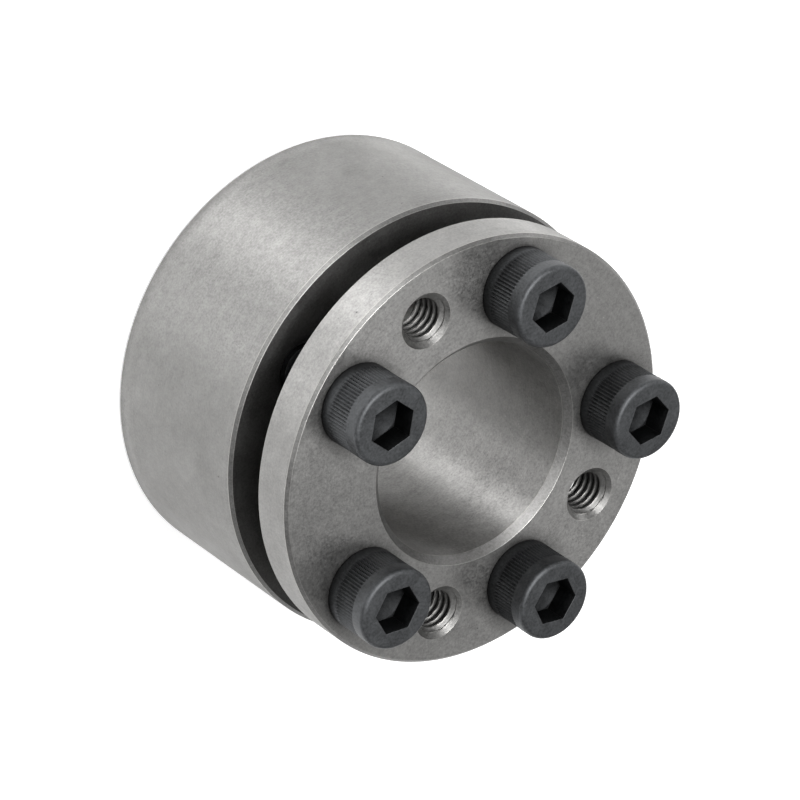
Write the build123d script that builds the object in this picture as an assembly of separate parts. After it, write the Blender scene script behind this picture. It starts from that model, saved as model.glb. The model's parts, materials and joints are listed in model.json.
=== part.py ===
# Shaft locking assembly: a flanged cone sleeve and a split taper ring, drawn together by socket head cap screws.
# Tightening the screws pulls the taper ring up the cone, which grips the shaft inside and the hub outside.
# The part stands on the taper ring's rear face. +Z runs along the shaft axis, towards the screw heads.
# The origin is the centre of that rear face. Sizes are in millimetres and degrees.

import os
from math import cos, pi, radians, sin

from build123d import *

# Shaft bore and the cone sleeve's wall
BORE_D = 27.0
BORE_CHAMFER = 0.9
SLEEVE_TIP_WALL = 1.2
SLEEVE_TIP_CHAMFER = 0.3

# Taper between sleeve and ring: radius gained for each millimetre of length
TAPER_SLOPE = 0.07
CLAMP_STROKE = 1.5
RUNNING_CLEARANCE = 0.03
TIP_CLEARANCE = 0.5

# Taper ring
RING_LENGTH = 23.5
RING_WEB = 1.1
RING_RIM = 3.96
RING_CHAMFER = 0.4
RING_MOUTH_CHAMFER = 0.5
RING_SLIT_WIDTH = 2.0

# Flange in front of the ring
FLANGE_GAP = 4.7
FLANGE_THICKNESS = 5.8
FLANGE_STEP = 0.5
FLANGE_CHAMFER = 0.4
SLEEVE_SLIT_WIDTH = 1.6
SLEEVE_SLIT_END = 2.0

# Clamping screws, M6 x 20 with a socket head
SCREW_COUNT = 5
SCREW_D = 6.0
SCREW_LENGTH = 20.0
SCREW_TIP_CHAMFER = 0.6
HEAD_D = 10.1
HEAD_HEIGHT = 6.7
HEAD_ROUND = 0.6
HEAD_SEAT_CHAMFER = 0.15
KNURL_TEETH = 72
KNURL_DEPTH = 0.2
KNURL_STEP = 0.03
KNURL_BOTTOM = 1.3
KNURL_TOP = 4.8
SOCKET_WIDTH = 5.35
SOCKET_DEPTH = 3.0
SOCKET_POINT_ANGLE = 120.0
THREAD_CLEARANCE = 0.05
THREAD_CHAMFER = 0.4
FLANGE_HOLE_D = 6.6
SOCKET_TURNS = (52.0, 59.4, 38.4, 34.6, 49.1)

# Jacking holes tapped through the flange, for the same screws when the assembly is taken off.
# They sit this angle past the middle between two screws.
JACK_D = 6.0
JACK_CHAMFER = 0.45
JACK_OFFSET_ANGLE = 1.3

# How far a cutter runs past the face that it opens
OVERRUN = 1.0

# Heights
SLEEVE_TIP_Z = CLAMP_STROKE + TIP_CLEARANCE
FLANGE_BACK_Z = RING_LENGTH + FLANGE_GAP
FLANGE_FRONT_Z = FLANGE_BACK_Z + FLANGE_THICKNESS

# Radii, worked out from the bore to the hub seat
BORE_R = BORE_D / 2
SLEEVE_TIP_R = BORE_R + SLEEVE_TIP_WALL
TAPER_CLEARANCE = CLAMP_STROKE * TAPER_SLOPE + RUNNING_CLEARANCE
RING_HOLE_R = SCREW_D / 2 + THREAD_CLEARANCE


def cone_radius(z):
    """Outer radius of the sleeve's cone at height z."""
    return SLEEVE_TIP_R + (z - SLEEVE_TIP_Z) * TAPER_SLOPE


def ring_bore_radius(z):
    """Radius of the ring's taper bore at height z."""
    return cone_radius(z) + TAPER_CLEARANCE


SCREW_CIRCLE_R = ring_bore_radius(RING_LENGTH) + RING_WEB + RING_HOLE_R
RING_R = SCREW_CIRCLE_R + RING_HOLE_R + RING_RIM
FLANGE_R = RING_R - FLANGE_STEP

# Angles: the screws stand evenly about +Y, with a place between two screws on +Y
SCREW_PITCH_ANGLE = 360 / SCREW_COUNT
FIRST_SCREW_ANGLE = 90 - SCREW_PITCH_ANGLE / 2


def angle_between(place):
    """Angle halfway between two neighbouring screws. Place 0 is on +Y and the rest follow anticlockwise."""
    return FIRST_SCREW_ANGLE + (place + 0.5) * SCREW_PITCH_ANGLE


# The slits take the two places between screws that have no jacking hole
SLEEVE_SLIT_ANGLE = angle_between(1)
RING_SLIT_ANGLE = angle_between(4)
JACK_ANGLES = [angle_between(place) + JACK_OFFSET_ANGLE for place in (0, 2, 3)]


def on_screw_circle(angle, z=0.0):
    """Place at an angle on the screw circle, at height z."""
    return Pos(SCREW_CIRCLE_R * cos(radians(angle)), SCREW_CIRCLE_R * sin(radians(angle)), z)


def turned(*points):
    """Solid turned about Z from a closed outline of (radius, z) points."""
    return revolve(Plane.XZ * make_face(Polyline(*points, close=True)), Axis.Z)


def upright(radius, bottom, top):
    """Upright cylinder between two heights."""
    return Pos(0, 0, (bottom + top) / 2) * Cylinder(radius, top - bottom)


def hole(radius, chamfer, bottom, top):
    """Cutter for a through hole between two faces, chamfered at its upper mouth."""
    cone = turned((0, top - radius - chamfer), (radius + 2 * chamfer, top + chamfer), (0, top + chamfer))
    return upright(radius, bottom - OVERRUN, top + OVERRUN) + cone


def slit(width, inner_radius, outer_radius, bottom, top):
    """Cutter for a straight slit through a wall on the +X side."""
    length = outer_radius - inner_radius
    return Pos(inner_radius + length / 2, 0, (bottom + top) / 2) * Box(length, width, top - bottom)


def taper_ring():
    """Outer ring: plain hub seat outside, taper bore inside, tapped for the screws and slit once."""
    front = RING_LENGTH
    body = turned(
        (ring_bore_radius(0) + RING_CHAMFER, 0),
        (RING_R - RING_CHAMFER, 0),
        (RING_R, RING_CHAMFER),
        (RING_R, front - RING_CHAMFER),
        (RING_R - RING_CHAMFER, front),
        (ring_bore_radius(front) + RING_MOUTH_CHAMFER, front),
        (ring_bore_radius(front - RING_MOUTH_CHAMFER), front - RING_MOUTH_CHAMFER),
        (ring_bore_radius(RING_CHAMFER), RING_CHAMFER),
    )
    tapped = hole(RING_HOLE_R, THREAD_CHAMFER, 0, front)
    tapped += Pos(0, 0, front) * Rot(180, 0, 0) * tapped
    for number in range(SCREW_COUNT):
        body -= on_screw_circle(FIRST_SCREW_ANGLE + number * SCREW_PITCH_ANGLE) * tapped
    cut = slit(RING_SLIT_WIDTH, BORE_R / 2, RING_R + OVERRUN, -OVERRUN, front + OVERRUN)
    return body - Rot(0, 0, RING_SLIT_ANGLE) * cut


def flanged_sleeve():
    """Inner ring: cone sleeve and flange in one piece, with clearance holes and tapped jacking holes."""
    tip = SLEEVE_TIP_Z
    back = FLANGE_BACK_Z
    front = FLANGE_FRONT_Z
    body = turned(
        (BORE_R + SLEEVE_TIP_CHAMFER, tip),
        (cone_radius(tip) - SLEEVE_TIP_CHAMFER, tip),
        (cone_radius(tip + SLEEVE_TIP_CHAMFER), tip + SLEEVE_TIP_CHAMFER),
        (cone_radius(back), back),
        (FLANGE_R - FLANGE_CHAMFER, back),
        (FLANGE_R, back + FLANGE_CHAMFER),
        (FLANGE_R, front - FLANGE_CHAMFER),
        (FLANGE_R - FLANGE_CHAMFER, front),
        (BORE_R + BORE_CHAMFER, front),
        (BORE_R, front - BORE_CHAMFER),
        (BORE_R, tip + SLEEVE_TIP_CHAMFER),
    )
    clearance = upright(FLANGE_HOLE_D / 2, back - OVERRUN, front + OVERRUN)
    for number in range(SCREW_COUNT):
        body -= on_screw_circle(FIRST_SCREW_ANGLE + number * SCREW_PITCH_ANGLE) * clearance
    jacking = hole(JACK_D / 2, JACK_CHAMFER, back, front)
    for angle in JACK_ANGLES:
        body -= on_screw_circle(angle) * jacking
    slit_top = back - SLEEVE_SLIT_END - SLEEVE_SLIT_WIDTH / 2
    reach = cone_radius(back) + OVERRUN
    cut = slit(SLEEVE_SLIT_WIDTH, BORE_R / 2, reach, tip - OVERRUN, slit_top)
    round_end = Rot(0, 90, 0) * Cylinder(SLEEVE_SLIT_WIDTH / 2, reach - BORE_R / 2)
    cut += Pos((BORE_R / 2 + reach) / 2, 0, slit_top) * round_end
    return body - Rot(0, 0, SLEEVE_SLIT_ANGLE) * cut


def socket(turn):
    """Cutter for the hexagon socket and the drill point below it, from the head's top at z 0."""
    hexagon = Rot(0, 0, turn) * RegularPolygon(SOCKET_WIDTH / 2, 6, major_radius=False)
    cut = Pos(0, 0, -SOCKET_DEPTH) * extrude(hexagon, SOCKET_DEPTH + OVERRUN)
    point_depth = SOCKET_WIDTH / 2 * cos(radians(SOCKET_POINT_ANGLE / 2)) / sin(radians(SOCKET_POINT_ANGLE / 2))
    cut += turned((0, -SOCKET_DEPTH - point_depth), (SOCKET_WIDTH / 2, -SOCKET_DEPTH), (0, -SOCKET_DEPTH))
    return cut


def knurled_band():
    """The grip round a screw head: upright V teeth between two heights."""
    crest = HEAD_D / 2 - KNURL_STEP
    root = crest - KNURL_DEPTH
    half_tooth = pi / KNURL_TEETH
    outline = []
    for corner in range(2 * KNURL_TEETH):
        radius = root if corner % 2 else crest
        outline.append((radius * cos(corner * half_tooth), radius * sin(corner * half_tooth)))
    teeth = extrude(make_face(Polyline(*outline, close=True)), KNURL_TOP - KNURL_BOTTOM)
    return Pos(0, 0, KNURL_BOTTOM) * teeth


def cap_screw(turn):
    """Socket head cap screw, its head seated on z 0 and its shank below."""
    head = turned(
        (0, 0),
        (HEAD_D / 2 - HEAD_SEAT_CHAMFER, 0),
        (HEAD_D / 2, HEAD_SEAT_CHAMFER),
        (HEAD_D / 2, KNURL_BOTTOM),
        (0, KNURL_BOTTOM),
    )
    head += knurled_band() + upright(HEAD_D / 2, KNURL_TOP, HEAD_HEIGHT)
    head = fillet(head.edges().sort_by(Axis.Z)[-1], HEAD_ROUND)
    shank = turned(
        (0, -SCREW_LENGTH),
        (SCREW_D / 2 - SCREW_TIP_CHAMFER, -SCREW_LENGTH),
        (SCREW_D / 2, -SCREW_LENGTH + SCREW_TIP_CHAMFER),
        (SCREW_D / 2, 0),
        (0, 0),
    )
    return head + shank - Pos(0, 0, HEAD_HEIGHT) * socket(turn)


def main():
    os.makedirs("parts", exist_ok=True)
    pieces = {"taper_ring": taper_ring(), "flanged_sleeve": flanged_sleeve()}
    for number in range(SCREW_COUNT):
        angle = FIRST_SCREW_ANGLE + number * SCREW_PITCH_ANGLE
        turn = SOCKET_TURNS[number % len(SOCKET_TURNS)]
        pieces[f"cap_screw_{number + 1}"] = on_screw_circle(angle, FLANGE_FRONT_Z) * cap_screw(turn)
    for node, solid in pieces.items():
        export_step(solid, f"parts/{node}.step")
        print(node, round(solid.volume, 1))


main()
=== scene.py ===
# Shaft locking assembly: a flanged cone sleeve and a split taper ring, drawn together by cap screws.
# Lengths are in millimetres and angles in degrees. A finished piece is brought to metres once, in keep_piece.

import json
from math import atan2, cos, degrees, hypot, pi, radians, sin, tan

import bmesh
import bpy
from mathutils import Matrix, Quaternion, Vector


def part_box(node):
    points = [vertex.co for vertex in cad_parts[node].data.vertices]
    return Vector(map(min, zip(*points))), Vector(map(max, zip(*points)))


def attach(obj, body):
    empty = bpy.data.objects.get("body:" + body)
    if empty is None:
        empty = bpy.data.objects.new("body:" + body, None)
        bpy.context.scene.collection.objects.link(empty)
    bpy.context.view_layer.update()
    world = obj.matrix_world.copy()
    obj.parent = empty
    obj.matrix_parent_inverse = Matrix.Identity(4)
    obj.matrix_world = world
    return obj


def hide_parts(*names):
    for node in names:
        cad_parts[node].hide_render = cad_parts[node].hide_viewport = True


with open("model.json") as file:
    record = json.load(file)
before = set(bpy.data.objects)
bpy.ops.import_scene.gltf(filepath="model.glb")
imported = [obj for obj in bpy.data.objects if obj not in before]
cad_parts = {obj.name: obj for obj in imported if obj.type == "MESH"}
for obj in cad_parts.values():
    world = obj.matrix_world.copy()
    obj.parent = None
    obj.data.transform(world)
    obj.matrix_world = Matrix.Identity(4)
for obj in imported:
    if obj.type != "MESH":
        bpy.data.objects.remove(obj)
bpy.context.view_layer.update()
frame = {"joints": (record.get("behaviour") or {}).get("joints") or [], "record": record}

MM = 0.001


def span(node):
    """Lowest and highest corner of a CAD node, in millimetres."""
    low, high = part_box(node)
    return low / MM, high / MM


# Sizes that the frame gives
mounts = {mount["name"]: mount for mount in frame["record"]["mounts"]}
screw_joints = [joint for joint in frame["joints"] if joint["type"] == "hinge"]
first_screw = Vector(screw_joints[0]["pos_m"]) / MM
first_jack = Vector(mounts["jacking_hole_1"]["pos_m"]) / MM
SCREW_COUNT = len(screw_joints)
SCREW_CIRCLE_R = hypot(first_screw.x, first_screw.y)
FIRST_SCREW_ANGLE = degrees(atan2(first_screw.y, first_screw.x))
FIRST_JACK_ANGLE = degrees(atan2(first_jack.y, first_jack.x))
BORE_R = mounts["shaft_bore"]["dims"]["r_mm"]
RING_R = mounts["hub_seat"]["dims"]["r_mm"]
JACK_R = mounts["jacking_hole_1"]["dims"]["r_mm"]
RING_LENGTH = span("taper_ring")[1].z
SLEEVE_TIP_Z, FLANGE_FRONT_Z = (corner.z for corner in span("flanged_sleeve"))
FLANGE_R = span("flanged_sleeve")[1].x
SCREW_TIP_Z, HEAD_TOP_Z = (corner.z for corner in span("cap_screw_1"))

# Cone sleeve and flange
FLANGE_THICKNESS = 5.8
FLANGE_BACK_Z = FLANGE_FRONT_Z - FLANGE_THICKNESS
FLANGE_CHAMFER = 0.4
BORE_CHAMFER = 0.9
SLEEVE_TIP_WALL = 1.2
SLEEVE_TIP_CHAMFER = 0.3
TAPER_SLOPE = 0.07
TAPER_CLEARANCE = 0.135
SLEEVE_SLIT_WIDTH = 1.6
SLEEVE_SLIT_END = 2.0
FLANGE_HOLE_R = 3.3
JACK_CHAMFER = 0.45

# Taper ring
RING_CHAMFER = 0.4
RING_MOUTH_CHAMFER = 0.5
RING_SLIT_WIDTH = 2.0
RING_HOLE_R = 3.05
RING_HOLE_CHAMFER = 0.4
RING_THREAD_TOP = 12.2

# Places between two screws are counted anticlockwise from the first jacking hole.
# The slits take the two of them that have no jacking hole.
SLEEVE_SLIT_PLACE = 1
RING_SLIT_PLACE = 4
NO_PLACE = -1

# Cap screws, and the angle at which each head's hexagon stands
HEAD_R = 5.05
HEAD_HEIGHT = HEAD_TOP_Z - FLANGE_FRONT_Z
HEAD_ROUND = 0.6
HEAD_SEAT_CHAMFER = 0.15
SCREW_LENGTH = FLANGE_FRONT_Z - SCREW_TIP_Z
SCREW_R = 3.0
SCREW_TIP_CHAMFER = 0.6
KNURL_TEETH = 72
KNURL_CREST_R = 5.02
KNURL_DEPTH = 0.2
KNURL_BOTTOM = 1.3
KNURL_TOP = 4.8
KNURL_END = 0.35
SOCKET_FLAT_R = 2.675
SOCKET_POINT_R = 2.6
SOCKET_POINT_DEPTH = 1.544
SOCKET_EDGE = 0.04
SOCKET_DEPTH = 3.0
SOCKET_TURNS = (52.0, 59.4, 38.4, 34.6, 49.1)

# Metric coarse thread of the screws, the ring's holes and the jacking holes.
# The crest's end and the root's start are counted in pitches from the middle of the crest.
PITCH = 1.0
THREAD_DEPTH = 0.58
THREAD_CORE_R = 2.46
THREAD_CREST_END = 1 / 16
THREAD_ROOT_START = 3 / 8
THREAD_ROWS = 12

# How finely the round pieces are divided
LATHE_COLUMNS = 256
HEAD_COLUMNS = 4 * KNURL_TEETH
ROD_COLUMNS = 72
EDGE_STEPS = 3
HEAD_ROUND_STEPS = 8
SLIT_END_STEPS = 12

# Small arc at the corners of a turned piece, and the bend past which an edge is drawn sharp
EDGE_ROUND = 0.12
SHARP_ANGLE = 40.0

# How far a cutter runs past the face that it opens, and how far its rings of points keep from that face
OVERRUN = 1.0
FACE_MISS = 0.03

# How far a face leans: 0 on an upright wall, 0.71 on a 45 degree chamfer and 1 on a flat face.
# A pair of limits says where one finish, or one painted light and shade, starts to give way to the next, and
# where it has.
CHAMFER_LEAN = cos(pi / 4)
WALL_TO_FACE = (0.3, 0.8)
WALL_TO_CHAMFER = (0.15, 0.4)
CHAMFER_TO_FACE = (0.8, 0.95)
FLAT_TO_ROUNDED = (0.07, 0.11)

# How alike the bevelled and the plain normal of a face are where its edge marking starts, and where it is
# full: wear, and on steel also a painted highlight
EDGE_ALIKE = (0.985, 0.93)

# Painted shade in gaps and holes: open share of what surrounds a face where it is darkest, and where it is as
# light as in the open
OPEN_SHARE = (0.25, 0.85)

# Share of a speck's radius that shows in full
SPECK_CORE = 0.4

# Finish of the steel: its walls are streaked along the axis by the light, its flat faces only a little
WALL_ROUGHNESS = 0.50
WALL_STREAK = 0.97
FACE_ROUGHNESS = 0.46
FACE_STREAK = 0.3
WALL_MOTTLE = 0.35
FACE_MOTTLE = 0.2
MARKS_CLOSENESS = 5.0
# Steel's worn edges, which also carry a painted highlight: how strongly, and their colour
EDGE_WEAR_AND_GLINT = 0.65
BARE_EDGE_AND_GLINT = (0.66, 0.65, 0.62)

# Share of a turn that sets the streaks of light across the turning marks
STREAK_TURN = 0.25

# Black oxide: painted shade darkens the heads' sides, and more so down towards their seat
HEAD_SIDE_PAINTED_SHADE = 0.8
SEAT_PAINTED_SHADE = 0.45
SEAT_SHADE_HEIGHT = 2.6
RUBBED_WEAR = 0.6

# Floor and light
FLOOR_WIDTH = 6000.0
FLOOR_Z = -0.02
FLOOR_COLOUR = (0.8, 0.8, 0.8)
FLOOR_GLOW = 0.65
FLOOR_GLOW_IN_METAL = 0.95
ROOM_LIGHT = 0.3
LAMP_DISTANCE = 420.0
LAMP_WIDTH = 90.0

# Strip lamps: azimuth, lowest and highest elevation, and power in watts
LAMPS = {
    "high_lamp": (79, 60, 80, 0.88),
    "key_lamp": (85, 35, 55, 0.36),
    "side_lamp": (141, 55, 75, 0.42),
    "back_lamp": (-50, 40, 60, 0.05),
    "low_lamp": (10, 10, 30, 0.16),
}

# Camera, as the photograph was taken
CAMERA_AZIMUTH = -60.80
CAMERA_ELEVATION = -45.66
CAMERA_ROLL = 122.01
CAMERA_DISTANCE = 476.75
CAMERA_AIM = Vector((0.394, 0.220, 18.65))
CAMERA_LENS = 180.13
CAMERA_SENSOR = 36.0
CAMERA_NEAR = 10.0
CAMERA_FAR = 10000.0


def cone_radius(z):
    """Outer radius of the sleeve's cone at height z."""
    return BORE_R + SLEEVE_TIP_WALL + (z - SLEEVE_TIP_Z) * TAPER_SLOPE


def ring_bore_radius(z):
    """Radius of the ring's taper bore at height z."""
    return cone_radius(z) + TAPER_CLEARANCE


def place_angle(place):
    """Angle halfway between two neighbouring screws."""
    return FIRST_SCREW_ANGLE + (place + 0.5) * 360 / SCREW_COUNT


class Nodes:
    """Adds nodes to a tree. An input given as a socket is linked, and any other is set."""

    def __init__(self, tree):
        self.tree = tree

    def add(self, kind, inputs=None, output=0, **settings):
        node = self.tree.nodes.new(kind)
        for name, value in settings.items():
            setattr(node, name, value)
        for key, value in (inputs or {}).items():
            if isinstance(value, bpy.types.NodeSocket):
                self.tree.links.new(value, node.inputs[key])
            else:
                node.inputs[key].default_value = value
        return node.outputs[output]

    def math(self, operation, *values, **settings):
        return self.add("ShaderNodeMath", dict(enumerate(values)), operation=operation, **settings)

    def times(self, first, second):
        return self.math("MULTIPLY", first, second)

    def plus(self, value, other, share):
        """The value with a share of another added."""
        return self.math("MULTIPLY_ADD", other, share, value)

    def swayed(self, value, pattern, share):
        """The value moved up and down by a share of a pattern whose middle is 0.5."""
        return self.plus(value, self.math("SUBTRACT", pattern, 0.5), share)

    def between(self, value, low, high, to_low=0.0, to_high=1.0):
        """The value's place between two limits, brought to two others."""
        limits = {"Value": value, "From Min": low, "From Max": high, "To Min": to_low, "To Max": to_high}
        return self.add("ShaderNodeMapRange", limits)

    def parts(self, vector):
        """X, Y and Z of a vector."""
        split = self.add("ShaderNodeSeparateXYZ", {0: vector}).node
        return split.outputs[0], split.outputs[1], split.outputs[2]

    def radius_of(self, x, y):
        return self.math("SQRT", self.plus(self.times(y, y), x, x))

    def noise(self, place, scale, detail, roughness=0.5):
        """Soft random pattern whose middle is 0.5, with its scale in repeats for each millimetre."""
        settings = {"Vector": place, "Scale": scale, "Detail": detail, "Roughness": roughness}
        return self.add("ShaderNodeTexNoise", settings)

    def mixed(self, share, first, second):
        """Two colours mixed by a share from 0 to 1."""
        return self.add("ShaderNodeMix", {0: share, 6: first, 7: second}, output=2, data_type="RGBA")

    def end_at(self, kind, result):
        """Joins the tree's result to its output node."""
        self.tree.links.new(result, self.tree.nodes.new(kind).inputs[0])


class GeometryTree(Nodes):
    """A geometry tree with a named input for each size, which ends by setting the finish."""

    def __init__(self, name, sizes):
        super().__init__(bpy.data.node_groups.new(name, "GeometryNodeTree"))
        self.tree.is_modifier = True
        sockets = self.tree.interface
        sockets.new_socket(name="Geometry", in_out="INPUT", socket_type="NodeSocketGeometry")
        sockets.new_socket(name="Geometry", in_out="OUTPUT", socket_type="NodeSocketGeometry")
        sockets.new_socket(name="Finish", in_out="INPUT", socket_type="NodeSocketMaterial")
        for size in sizes:
            sockets.new_socket(name=size, in_out="INPUT", socket_type="NodeSocketFloat")
        self.given = self.tree.nodes.new("NodeGroupInput").outputs
        position = self.add("GeometryNodeInputPosition")
        self.x, self.y, self.z = self.parts(position)
        self.radius = self.radius_of(self.x, self.y)
        self.turns = self.math("DIVIDE", self.math("ARCTAN2", self.y, self.x), 2 * pi)

    def with_radius(self, geometry, radius, selection):
        """The geometry with the chosen points moved in or out to a new radius."""
        growth = self.math("DIVIDE", radius, self.radius)
        moved = {0: self.times(self.x, growth), 1: self.times(self.y, growth), 2: self.z}
        place = self.add("ShaderNodeCombineXYZ", moved)
        return self.add("GeometryNodeSetPosition", {0: geometry, 1: selection, 2: place})

    def finish(self, geometry):
        real = self.add("GeometryNodeRealizeInstances", {0: geometry})
        coated = self.add("GeometryNodeSetMaterial", {"Geometry": real, "Material": self.given["Finish"]})
        self.end_at("NodeGroupOutput", coated)
        return self.tree


def thread_tree(name, nearer):
    """Right-hand thread on the points below a height.
    With MAXIMUM a cutter is opened out to the thread, and with MINIMUM a rod is cut down to it."""
    build = GeometryTree(name, ("Outer radius", "Depth", "Pitch", "Top"))
    given = build.given
    along = build.math("SUBTRACT", build.math("DIVIDE", build.z, given["Pitch"]), build.turns)
    from_crest = build.math("ABSOLUTE", build.math("SUBTRACT", build.math("FRACT", along), 0.5))
    groove = build.between(from_crest, THREAD_CREST_END, THREAD_ROOT_START)
    helix = build.math("SUBTRACT", given["Outer radius"], build.times(given["Depth"], groove))
    below = build.math("LESS_THAN", build.z, given["Top"])
    radius = build.math(nearer, build.radius, helix)
    return build.finish(build.with_radius(given["Geometry"], radius, below))


def knurl_tree():
    """Straight V teeth round a screw head, between two heights."""
    build = GeometryTree("straight_knurl", ("Crest radius", "Depth", "Teeth", "First tooth", "Bottom", "Top"))
    given = build.given
    from_first = build.math("SUBTRACT", build.turns, build.math("DIVIDE", given["First tooth"], 360.0))
    tooth = build.math("FRACT", build.times(from_first, given["Teeth"]))
    from_crest = build.math("ABSOLUTE", build.plus(-1.0, tooth, 2.0))
    teeth = build.math("SUBTRACT", given["Crest radius"], build.times(given["Depth"], from_crest))
    above = build.math("GREATER_THAN", build.z, given["Bottom"])
    below = build.math("LESS_THAN", build.z, given["Top"])
    radius = build.math("MINIMUM", build.radius, teeth)
    return build.finish(build.with_radius(given["Geometry"], radius, build.times(above, below)))


def circle_tree():
    """Copies of a piece on a circle about Z, with up to two places left out."""
    build = GeometryTree("pieces_on_circle", ("Count", "Radius", "First angle", "Left out", "Also left out"))
    given = build.given
    places = build.add("GeometryNodeMeshCircle", {"Vertices": given["Count"], "Radius": given["Radius"]})
    turn = build.add("ShaderNodeCombineXYZ", {2: build.math("RADIANS", given["First angle"])})
    turned_places = build.add("GeometryNodeTransform", {"Geometry": places, "Rotation": turn})
    number = build.add("GeometryNodeInputIndex")
    gone = [build.math("COMPARE", number, given[name], 0.5) for name in ("Left out", "Also left out")]
    kept = build.math("LESS_THAN", build.math("ADD", *gone), 0.5)
    copies = {"Points": turned_places, "Selection": kept, "Instance": given["Geometry"]}
    return build.finish(build.add("GeometryNodeInstanceOnPoints", copies))


def new_object(name, data):
    """Object in the scene that shows a mesh, a lamp or a camera."""
    piece = bpy.data.objects.new(name, data)
    bpy.context.scene.collection.objects.link(piece)
    return piece


def make_plain(piece):
    """Leaves what the piece's modifiers make as its own mesh."""
    evaluated = piece.evaluated_get(bpy.context.evaluated_depsgraph_get())
    made = bpy.data.meshes.new_from_object(evaluated)
    piece.modifiers.clear()
    piece.data = made


def face_outwards(piece):
    """Turns every face of a closed mesh outwards."""
    work = bmesh.new()
    work.from_mesh(piece.data)
    bmesh.ops.recalc_face_normals(work, faces=work.faces)
    work.to_mesh(piece.data)
    work.free()


def run_tree(piece, tree, sizes, finish):
    """Runs a geometry tree on a piece with the sizes given by name."""
    modifier = piece.modifiers.new(tree.name, "NODES")
    modifier.node_group = tree
    values = {"Finish": finish, **sizes}
    for socket in tree.interface.items_tree:
        if socket.in_out == "INPUT" and socket.name in values:
            modifier[socket.identifier] = values[socket.name]
    make_plain(piece)


def cut(piece, cutter):
    """Takes the cutter away from the piece. The walls that it leaves have the cutter's finish."""
    modifier = piece.modifiers.new("cut", "BOOLEAN")
    modifier.operation = "DIFFERENCE"
    modifier.solver = "EXACT"
    modifier.material_mode = "TRANSFER"
    modifier.object = cutter
    make_plain(piece)
    bpy.data.objects.remove(cutter)


def stretch_of(ring, number, count):
    """The part of a ring that one of the faces on it takes. A ring of one point is a pole."""
    if len(ring) == 1:
        return list(ring)
    step = len(ring) // count
    return [ring[(number * step + place) % len(ring)] for place in range(step + 1)]


def skin(name, rings, closed=False):
    """Piece whose mesh runs over a row of rings of points.
    Where two neighbouring rings differ, each face between them takes several points of the fuller one."""
    points = []
    numbers = []
    for ring in rings:
        numbers.append(range(len(points), len(points) + len(ring)))
        points.extend(ring)
    following = numbers[1:] + (numbers[:1] if closed else [])
    faces = []
    for ring, after in zip(numbers, following):
        pole = 1 in (len(ring), len(after))
        count = max(len(ring), len(after)) if pole else min(len(ring), len(after))
        for number in range(count):
            faces.append(stretch_of(ring, number, count) + stretch_of(after, number, count)[::-1])
    mesh = bpy.data.meshes.new(name)
    mesh.from_pydata(points, [], faces)
    return new_object(name, mesh)


def circle(radius, z, count, start=0.0):
    """Ring of points at a height."""
    angles = [radians(start) + 2 * pi * number / count for number in range(count)]
    return [(radius * cos(angle), radius * sin(angle), z) for angle in angles]


def hexagon(flat_radius, z, turn):
    """Ring of points on a hexagon at a height."""
    points = []
    for number in range(HEAD_COLUMNS):
        angle = 360 * number / HEAD_COLUMNS
        radius = flat_radius / cos(radians(angle % 60 - 30))
        bearing = radians(turn + angle)
        points.append((radius * cos(bearing), radius * sin(bearing), z))
    return points


def rounded(outline, radius, steps):
    """A closed outline of (radius, z) corners, each corner turned into a small arc."""
    corners = [Vector(corner) for corner in outline]
    smooth = []
    for number, corner in enumerate(corners):
        back = (corners[number - 1] - corner).normalized()
        ahead = (corners[(number + 1) % len(corners)] - corner).normalized()
        half = back.angle(ahead) / 2
        centre = corner + (back + ahead).normalized() * radius / sin(half)
        first = corner + back * radius / tan(half) - centre
        last = corner + ahead * radius / tan(half) - centre
        turn = pi - 2 * half
        for step in range(steps + 1):
            to_last = turn * step / steps
            smooth.append(centre + (first * sin(turn - to_last) + last * sin(to_last)) / sin(turn))
    return smooth


def turned(name, outline, finish):
    """Piece turned about Z from a closed outline of (radius, z) corners."""
    smooth = rounded(outline, EDGE_ROUND, EDGE_STEPS)
    piece = skin(name, [circle(radius, z, LATHE_COLUMNS) for radius, z in smooth], closed=True)
    piece.data.materials.append(finish)
    face_outwards(piece)
    return piece


def rod(name, profile):
    """Closed round rod over (radius, z) steps from bottom to top, with flat ends."""
    rings = [circle(radius, z, ROD_COLUMNS) for radius, z in profile]
    cutter = skin(name, [[(0, 0, profile[0][1])], *rings, [(0, 0, profile[-1][1])]])
    face_outwards(cutter)
    return cutter


def slit_cutter(name, width, inner, outer, bottom, top, angle, round_end=False):
    """Cutter for a slit through a wall, with a square or a round upper end."""
    half = width / 2
    outline = [(-half, bottom), (half, bottom), (half, top), (-half, top)]
    if round_end:
        bends = [pi * step / SLIT_END_STEPS for step in range(SLIT_END_STEPS + 1)]
        outline = outline[:2] + [(half * cos(bend), top + half * sin(bend)) for bend in bends]
    rings = [[(distance, across, z) for across, z in outline] for distance in (inner, outer)]
    middle = (bottom + top) / 2
    cutter = skin(name, [[(inner, 0, middle)], *rings, [(outer, 0, middle)]])
    cutter.data.transform(Matrix.Rotation(radians(angle), 4, "Z"))
    cutter.data.materials.append(bored_steel)
    face_outwards(cutter)
    return cutter


def steps_between(low, high):
    """Heights between two limits, close enough to draw the thread."""
    count = round((high - low) / PITCH * THREAD_ROWS)
    return [low + (high - low) * number / count for number in range(count + 1)]


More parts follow.
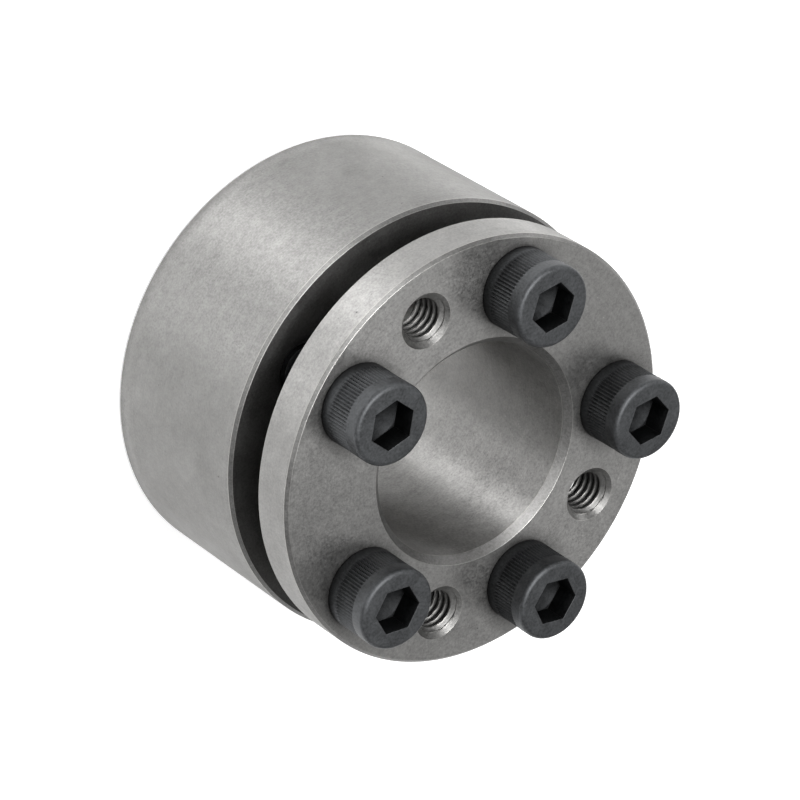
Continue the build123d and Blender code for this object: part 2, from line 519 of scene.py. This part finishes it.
def tapped_cutter(name, bottom, top, radius, mouths, thread_top):
    """Cutter for a tapped hole, plain above the thread's top. The mouths are two radii, the lower one first.
    None of its rings of points lies in a face that it opens, which would leave slivers there."""
    low_mouth, high_mouth = mouths

    def open_radius(z):
        core = THREAD_CORE_R if z <= thread_top else radius
        return max(core, low_mouth - (z - bottom), high_mouth - (top - z))

    heights = [bottom - OVERRUN, *steps_between(bottom - FACE_MISS, thread_top), top + OVERRUN]
    if thread_top < top:
        heights[-1:-1] = [thread_top + PITCH / THREAD_ROWS, top - (high_mouth - radius)]
    cutter = rod(name, [(open_radius(z), z) for z in heights])
    sizes = {"Outer radius": JACK_R, "Depth": THREAD_DEPTH, "Pitch": PITCH, "Top": thread_top + 2 * OVERRUN}
    run_tree(cutter, tapped_thread, sizes, bored_steel)
    return cutter


def on_circle(cutter, first_angle, left_out=(NO_PLACE, NO_PLACE)):
    """Repeats a cutter round the screw circle."""
    places = {"Count": SCREW_COUNT, "Radius": SCREW_CIRCLE_R, "First angle": first_angle}
    places.update({"Left out": left_out[0], "Also left out": left_out[1]})
    run_tree(cutter, pieces_on_circle, places, bored_steel)
    return cutter


def keep_piece(piece, body, node):
    """Smooths a finished piece, brings it to metres and hands it to the frame."""
    face_outwards(piece)
    mesh = piece.data
    mesh.polygons.foreach_set("use_smooth", [True] * len(mesh.polygons))
    mesh.set_sharp_from_angle(angle=radians(SHARP_ANGLE))
    weights = piece.modifiers.new("flat_faces_stay_flat", "WEIGHTED_NORMAL")
    weights.keep_sharp = True
    make_plain(piece)
    piece.data.transform(Matrix.Scale(MM, 4))
    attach(piece, body)
    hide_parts(node)


def taper_ring():
    """Outer ring: plain hub seat outside, taper bore inside, tapped for the screws and slit once."""
    front = RING_LENGTH
    outline = [
        (ring_bore_radius(0) + RING_CHAMFER, 0),
        (RING_R - RING_CHAMFER, 0),
        (RING_R, RING_CHAMFER),
        (RING_R, front - RING_CHAMFER),
        (RING_R - RING_CHAMFER, front),
        (ring_bore_radius(front) + RING_MOUTH_CHAMFER, front),
        (ring_bore_radius(front - RING_MOUTH_CHAMFER), front - RING_MOUTH_CHAMFER),
        (ring_bore_radius(RING_CHAMFER), RING_CHAMFER),
    ]
    ring = turned("ground_taper_ring", outline, ground_steel)
    mouth = RING_HOLE_R + RING_HOLE_CHAMFER
    tapped = tapped_cutter("ring_holes", 0, front, RING_HOLE_R, (mouth, mouth), RING_THREAD_TOP)
    cut(ring, on_circle(tapped, FIRST_SCREW_ANGLE))
    limits = (BORE_R / 2, RING_R + OVERRUN, -OVERRUN, front + OVERRUN)
    cut(ring, slit_cutter("ring_slit", RING_SLIT_WIDTH, *limits, place_angle(RING_SLIT_PLACE)))
    keep_piece(ring, "ring", "taper_ring")


def flanged_sleeve():
    """Inner ring: cone sleeve and flange in one piece, with clearance holes and tapped jacking holes."""
    tip = SLEEVE_TIP_Z
    back = FLANGE_BACK_Z
    front = FLANGE_FRONT_Z
    outline = [
        (BORE_R + SLEEVE_TIP_CHAMFER, tip),
        (cone_radius(tip) - SLEEVE_TIP_CHAMFER, tip),
        (cone_radius(tip + SLEEVE_TIP_CHAMFER), tip + SLEEVE_TIP_CHAMFER),
        (cone_radius(back), back),
        (FLANGE_R - FLANGE_CHAMFER, back),
        (FLANGE_R, back + FLANGE_CHAMFER),
        (FLANGE_R, front - FLANGE_CHAMFER),
        (FLANGE_R - FLANGE_CHAMFER, front),
        (BORE_R + BORE_CHAMFER, front),
        (BORE_R, front - BORE_CHAMFER),
        (BORE_R, tip + SLEEVE_TIP_CHAMFER),
    ]
    sleeve = turned("turned_flanged_sleeve", outline, turned_steel)
    clearance = rod("flange_holes", [(FLANGE_HOLE_R, back - OVERRUN), (FLANGE_HOLE_R, front + OVERRUN)])
    cut(sleeve, on_circle(clearance, FIRST_SCREW_ANGLE))
    mouths = (THREAD_CORE_R, JACK_R + JACK_CHAMFER)
    jacking = tapped_cutter("jacking_holes", back, front, JACK_R, mouths, front + FACE_MISS)
    cut(sleeve, on_circle(jacking, FIRST_JACK_ANGLE, (SLEEVE_SLIT_PLACE, RING_SLIT_PLACE)))
    slit_top = back - SLEEVE_SLIT_END - SLEEVE_SLIT_WIDTH / 2
    limits = (BORE_R / 2, cone_radius(back) + OVERRUN, tip - OVERRUN, slit_top)
    slit_angle = place_angle(SLEEVE_SLIT_PLACE)
    cut(sleeve, slit_cutter("sleeve_slit", SLEEVE_SLIT_WIDTH, *limits, slit_angle, round_end=True))
    keep_piece(sleeve, "sleeve", "flanged_sleeve")


def socket_rings(turn):
    """Rings of points from the drill point of a head's hexagon socket up to its edge."""
    bottom = HEAD_HEIGHT - SOCKET_DEPTH
    rings = [[(0, 0, bottom - SOCKET_POINT_DEPTH)], circle(SOCKET_POINT_R, bottom, HEAD_COLUMNS, turn)]
    rings.append(hexagon(SOCKET_FLAT_R, bottom, turn))
    rings.append(hexagon(SOCKET_FLAT_R, HEAD_HEIGHT - SOCKET_EDGE, turn))
    rings.append(hexagon(SOCKET_FLAT_R + SOCKET_EDGE, HEAD_HEIGHT, turn))
    return rings


def head_profile():
    """Outside of a screw head as (radius, z) steps, from its rounded top down to the flange's hole."""
    profile = []
    for step in range(HEAD_ROUND_STEPS + 1):
        bend = pi / 2 * step / HEAD_ROUND_STEPS
        radius = HEAD_R - HEAD_ROUND * (1 - sin(bend))
        profile.append((radius, HEAD_HEIGHT - HEAD_ROUND * (1 - cos(bend))))
    for z in (KNURL_TOP, KNURL_TOP - KNURL_END, KNURL_BOTTOM + KNURL_END, KNURL_BOTTOM, HEAD_SEAT_CHAMFER):
        profile.append((HEAD_R, z))
    return profile + [(HEAD_R - HEAD_SEAT_CHAMFER, 0), (FLANGE_HOLE_R, 0)]


def cap_screw(number, joint, turn):
    """Socket head cap screw with a straight knurl, its head seated on z 0 until it is put in its place."""
    rings = socket_rings(turn)
    rings += [circle(radius, z, HEAD_COLUMNS, turn) for radius, z in head_profile()]
    for z in reversed(steps_between(-SCREW_LENGTH, 0)):
        radius = min(SCREW_R, SCREW_R - SCREW_TIP_CHAMFER + z + SCREW_LENGTH)
        rings.append(circle(radius, z, ROD_COLUMNS, turn))
    rings.append([(0, 0, -SCREW_LENGTH)])

    screw = skin(f"blackened_cap_screw_{number}", rings)
    knurl = {"Crest radius": KNURL_CREST_R, "Depth": KNURL_DEPTH, "Teeth": KNURL_TEETH, "First tooth": turn}
    knurl.update({"Bottom": KNURL_BOTTOM + KNURL_END / 2, "Top": KNURL_TOP - KNURL_END / 2})
    run_tree(screw, straight_knurl, knurl, black_screw)
    thread = {"Outer radius": SCREW_R, "Depth": THREAD_DEPTH, "Pitch": PITCH, "Top": -PITCH / THREAD_ROWS / 2}
    run_tree(screw, screw_thread, thread, black_screw)
    screw.data.transform(Matrix.Translation(Vector(joint["pos_m"]) / MM))
    keep_piece(screw, joint["child"], f"cap_screw_{number}")


def fresh_nodes(owner):
    """The helper that adds nodes to a material or a world, which is emptied first."""
    owner.use_nodes = True
    owner.node_tree.nodes.clear()
    return Nodes(owner.node_tree)


def pattern_place(nodes):
    """Place on a piece in millimetres, which the patterns follow."""
    place = nodes.add("ShaderNodeTexCoord", output="Object")
    return nodes.add("ShaderNodeMapping", {"Vector": place, "Scale": (1 / MM,) * 3})


def face_lean(nodes):
    """0 on upright walls and 1 on flat faces, by how far a face looks up or down."""
    normal = nodes.add("ShaderNodeNewGeometry", output="Normal")
    return nodes.math("ABSOLUTE", nodes.parts(normal)[2])


def edge_wear_and_glint(nodes, width):
    """1 along the edges of a piece and 0 away from them."""
    across = nodes.add("ShaderNodeBevel", {"Radius": width * MM}, samples=6)
    straight = nodes.add("ShaderNodeNewGeometry", output="Normal")
    both = {0: across, 1: straight}
    alike = nodes.add("ShaderNodeVectorMath", both, output="Value", operation="DOT_PRODUCT")
    return nodes.between(alike, *EDGE_ALIKE)


def rounded_edge_glint(nodes, lean):
    """1 on the rounded edges between walls, 45 degree chamfers and flat faces, by how far each leans, where a
    painted highlight runs.
    """
    from_chamfer = nodes.math("ABSOLUTE", nodes.math("SUBTRACT", lean, CHAMFER_LEAN))
    from_face = nodes.math("SUBTRACT", 1.0, lean)
    nearest = nodes.math("MINIMUM", lean, nodes.math("MINIMUM", from_chamfer, from_face))
    return nodes.between(nearest, *FLAT_TO_ROUNDED)


def painted_recess_shade(nodes, reach, darkest):
    """Painted shade: 1 on open faces, and less down to a darkest value where a face lies deep in a gap or a
    hole.
    """
    open_share = nodes.add("ShaderNodeAmbientOcclusion", {"Distance": reach * MM}, output="AO", samples=8)
    return nodes.between(open_share, *OPEN_SHARE, darkest, 1.0)


def specks(nodes, place, spacing, size, share):
    """1 in small round specks that are scattered over a surface, and 0 between them."""
    cells = nodes.add("ShaderNodeTexVoronoi", {"Vector": place, "Scale": 1 / spacing}).node
    chosen = nodes.math("LESS_THAN", nodes.parts(cells.outputs["Color"])[0], share)
    near = nodes.between(cells.outputs["Distance"], size / spacing, SPECK_CORE * size / spacing)
    return nodes.times(chosen, near)


def turning_marks(nodes, place):
    """Fine marks that run round the axis, as a lathe leaves them."""
    x, y, z = nodes.parts(place)
    radius = nodes.radius_of(x, y)
    along = nodes.times(nodes.math("ADD", radius, z), MARKS_CLOSENESS)
    lay = {0: nodes.math("DIVIDE", x, radius), 1: nodes.math("DIVIDE", y, radius), 2: along}
    return nodes.noise(nodes.add("ShaderNodeCombineXYZ", lay), scale=1.5, detail=3.0)


def colour_with_edges(nodes, colour, tone, edge_colour, edge_share):
    """A colour made lighter or darker by a tone, with the edges' colour where they are worn, and on steel
    also where they carry a painted highlight.
    """
    shade = nodes.add("ShaderNodeVectorMath", {0: colour, "Scale": tone}, operation="SCALE")
    return nodes.mixed(edge_share, shade, (*edge_colour, 1.0))


def end_as_metal(nodes, colour, roughness, height, depth, streaks=None):
    """Ends a material as metal whose relief follows a pattern of heights and is as deep as given."""
    relief = nodes.add("ShaderNodeBump", {"Height": height, "Strength": 1.0, "Distance": depth * MM})
    metal = {"Base Color": colour, "Metallic": 1.0, "Roughness": roughness, "Normal": relief}
    metal.update(streaks or {})
    nodes.end_at("ShaderNodeOutputMaterial", nodes.add("ShaderNodeBsdfPrincipled", metal))


def steel(name, colour, edge_colour, chamfer_light_and_shade, face_light_and_shade, streak=WALL_STREAK):
    """Satin machined steel: mottled, with turning marks, pits, painted glints, worn edges that also carry a
    painted highlight, painted shade in its recesses, and painted light and shade by how far a face leans.
    """
    material = bpy.data.materials.new(name)
    nodes = fresh_nodes(material)
    place = pattern_place(nodes)
    marks = turning_marks(nodes, place)
    grain = nodes.noise(place, scale=3.4, detail=3.0, roughness=0.7)
    mottle = nodes.noise(place, scale=0.8, detail=2.0)
    cloud = nodes.noise(place, scale=0.2, detail=3.0)
    pit = specks(nodes, place, spacing=2.6, size=0.16, share=0.16)
    glint = specks(nodes, place, spacing=1.2, size=0.10, share=0.15)
    recess_shade = painted_recess_shade(nodes, reach=4.0, darkest=0.09)
    lean = face_lean(nodes)
    level = nodes.between(lean, *WALL_TO_FACE)

    # Worn edges that also carry a painted highlight, which on walls that are not bored runs along the rounded
    # edges too. A bored wall's thread leans every way, so only its bevels count as edges there
    edge = edge_wear_and_glint(nodes, width=0.15)
    if streak:
        edge = nodes.math("MAXIMUM", edge, rounded_edge_glint(nodes, lean))
    edge = nodes.times(edge, recess_shade)

    tone = nodes.plus(0.87, cloud, share=0.25)
    tone = nodes.swayed(tone, mottle, share=nodes.between(level, 0.0, 1.0, WALL_MOTTLE, FACE_MOTTLE))
    tone = nodes.swayed(tone, grain, share=1.15)
    tone = nodes.swayed(tone, marks, share=0.25)
    tone = nodes.plus(tone, glint, share=0.5)
    tone = nodes.times(tone, nodes.plus(1.0, pit, share=-0.6))
    # Painted shade in gaps and holes
    tone = nodes.times(tone, recess_shade)
    # Painted light and shade that set chamfers and flat faces apart from walls
    tone = nodes.times(tone, nodes.between(lean, *WALL_TO_CHAMFER, 1.0, chamfer_light_and_shade))
    tone = nodes.times(tone, nodes.between(lean, *CHAMFER_TO_FACE, 1.0, face_light_and_shade / chamfer_light_and_shade))
    worn_lit_and_shaded = colour_with_edges(nodes, colour, tone, edge_colour, nodes.times(edge, EDGE_WEAR_AND_GLINT))

    rough = nodes.between(level, 0.0, 1.0, WALL_ROUGHNESS, FACE_ROUGHNESS)
    rough = nodes.swayed(rough, cloud, share=0.20)
    rough = nodes.swayed(rough, grain, share=0.30)
    rough = nodes.plus(rough, edge, share=-0.08)

    height = nodes.plus(grain, marks, share=0.3)
    height = nodes.plus(height, pit, share=-2.0)
    along_marks = nodes.add("ShaderNodeTangent", direction_type="RADIAL", axis="Z")
    streaked = nodes.times(recess_shade, nodes.between(level, 0.0, 1.0, streak, FACE_STREAK))
    streaks = {"Tangent": along_marks, "Anisotropic": streaked, "Anisotropic Rotation": STREAK_TURN}
    end_as_metal(nodes, worn_lit_and_shaded, rough, height, depth=0.018, streaks=streaks)
    return material


def black_oxide(name, colour, edge_colour, roughness):
    """Blackened steel: dark, faintly blue and cloudy, and rubbed paler on its edges.
    Painted shade darkens it in its recesses, on the heads' sides and towards their seat."""
    material = bpy.data.materials.new(name)
    nodes = fresh_nodes(material)
    place = pattern_place(nodes)
    cloud = nodes.noise(place, scale=0.55, detail=4.0)
    grain = nodes.noise(place, scale=3.0, detail=3.0, roughness=0.65)
    pit = specks(nodes, place, spacing=1.3, size=0.10, share=0.2)
    edge = edge_wear_and_glint(nodes, width=0.12)
    height_up = nodes.parts(place)[2]

    tone = nodes.plus(0.6, cloud, share=0.8)
    tone = nodes.swayed(tone, grain, share=1.4)
    tone = nodes.times(tone, nodes.plus(1.0, pit, share=-0.5))
    # Painted shade in the socket and other recesses, then on the heads' sides and down towards their seat
    tone = nodes.times(tone, painted_recess_shade(nodes, reach=6.0, darkest=0.18))
    tone = nodes.times(tone, nodes.between(face_lean(nodes), *WALL_TO_FACE, HEAD_SIDE_PAINTED_SHADE, 1.0))
    seat_shade = (FLANGE_FRONT_Z, FLANGE_FRONT_Z + SEAT_SHADE_HEIGHT)
    tone = nodes.times(tone, nodes.between(height_up, *seat_shade, SEAT_PAINTED_SHADE, 1.0))
    edge_share = nodes.times(edge, nodes.times(grain, RUBBED_WEAR))
    rubbed_and_shaded = colour_with_edges(nodes, colour, tone, edge_colour, edge_share)

    rough = nodes.swayed(roughness, cloud, share=0.3)
    rough = nodes.swayed(rough, grain, share=0.3)
    height = nodes.plus(grain, pit, share=-2.0)
    end_as_metal(nodes, rubbed_and_shaded, rough, height, depth=0.02)
    return material


def pale_floor():
    """Wide pale floor, which glows a little where the camera or a reflection sees it.
    That makes it white round a pale shadow."""
    material = bpy.data.materials.new("pale_floor")
    nodes = fresh_nodes(material)
    ray = nodes.add("ShaderNodeLightPath").node.outputs
    glow = nodes.times(ray["Is Glossy Ray"], FLOOR_GLOW_IN_METAL)
    glow = nodes.plus(glow, ray["Is Camera Ray"], FLOOR_GLOW)
    matt = nodes.add("ShaderNodeBsdfDiffuse", {"Color": (*FLOOR_COLOUR, 1.0)})
    light = nodes.add("ShaderNodeEmission", {"Strength": glow})
    nodes.end_at("ShaderNodeOutputMaterial", nodes.add("ShaderNodeAddShader", {0: matt, 1: light}))
    half = FLOOR_WIDTH / 2
    corners = [(-half, -half, FLOOR_Z), (half, -half, FLOOR_Z), (half, half, FLOOR_Z), (-half, half, FLOOR_Z)]
    mesh = bpy.data.meshes.new("floor")
    mesh.from_pydata(corners, [], [(0, 1, 2, 3)])
    mesh.materials.append(material)
    mesh.transform(Matrix.Scale(MM, 4))
    plane = new_object("floor", mesh)


def white_room():
    """Even world light, which is white where the camera sees it."""
    world = bpy.data.worlds.new("white_room")
    bpy.context.scene.world = world
    nodes = fresh_nodes(world)
    ray = nodes.add("ShaderNodeLightPath").node.outputs
    seen = nodes.math("ADD", ray["Is Camera Ray"], ray["Is Transmission Ray"], use_clamp=True)
    strength = nodes.plus(ROOM_LIGHT, seen, 1.0 - ROOM_LIGHT)
    light = {"Color": (1.0, 1.0, 1.0, 1.0), "Strength": strength}
    nodes.end_at("ShaderNodeOutputWorld", nodes.add("ShaderNodeBackground", light))


def direction(azimuth, elevation):
    """Unit vector towards an azimuth and an elevation."""
    across = cos(radians(elevation))
    return Vector((across * cos(radians(azimuth)), across * sin(radians(azimuth)), sin(radians(elevation))))


def aim(piece, place, ahead, roll=0.0):
    """Puts a lamp or a camera in its place, facing ahead, and rolls it about its own axis."""
    piece.location = place * MM
    piece.rotation_mode = "QUATERNION"
    piece.rotation_quaternion = ahead.to_track_quat("-Z", "Y") @ Quaternion((0, 0, 1), radians(roll))


def lamp(name, azimuth, low, high, power):
    """Soft lamp shaped as an upright strip, which shines on the piece from low to high above the horizon."""
    light = bpy.data.lights.new(name, "AREA")
    light.shape = "RECTANGLE"
    light.size = LAMP_WIDTH * MM
    light.size_y = 2 * LAMP_DISTANCE * tan(radians(high - low) / 2) * MM
    light.energy = power
    towards = direction(azimuth, (low + high) / 2)
    aim(new_object(name, light), CAMERA_AIM + towards * LAMP_DISTANCE, -towards)


def camera():
    """Camera at the photograph's viewing angle."""
    lens = bpy.data.cameras.new("camera")
    lens.lens = CAMERA_LENS
    lens.sensor_width = CAMERA_SENSOR
    lens.clip_start = CAMERA_NEAR * MM
    lens.clip_end = CAMERA_FAR * MM
    piece = new_object("camera", lens)
    ahead = direction(CAMERA_AZIMUTH, CAMERA_ELEVATION)
    aim(piece, CAMERA_AIM - ahead * CAMERA_DISTANCE, ahead, CAMERA_ROLL)
    bpy.context.scene.camera = piece


tapped_thread = thread_tree("tapped_thread", "MAXIMUM")
screw_thread = thread_tree("screw_thread", "MINIMUM")
straight_knurl = knurl_tree()
pieces_on_circle = circle_tree()

ground_steel = steel("ground_steel", (0.352, 0.348, 0.340), BARE_EDGE_AND_GLINT, chamfer_light_and_shade=0.7, face_light_and_shade=0.4)
turned_steel = steel("turned_steel", (0.415, 0.410, 0.401), BARE_EDGE_AND_GLINT, chamfer_light_and_shade=0.62, face_light_and_shade=0.93)
bored_steel = steel(
    "bored_steel", (0.290, 0.287, 0.280), (0.55, 0.54, 0.52), chamfer_light_and_shade=1.05, face_light_and_shade=0.4, streak=0.0)
black_screw = black_oxide("black_oxide", (0.113, 0.117, 0.122), (0.15, 0.15, 0.15), roughness=0.57)

taper_ring()
flanged_sleeve()
for number, (joint, turn) in enumerate(zip(screw_joints, SOCKET_TURNS), start=1):
    cap_screw(number, joint, turn)

pale_floor()
white_room()
for name, strip in LAMPS.items():
    lamp(name, *strip)
camera()

bpy.context.scene.view_settings.view_transform = "Standard"
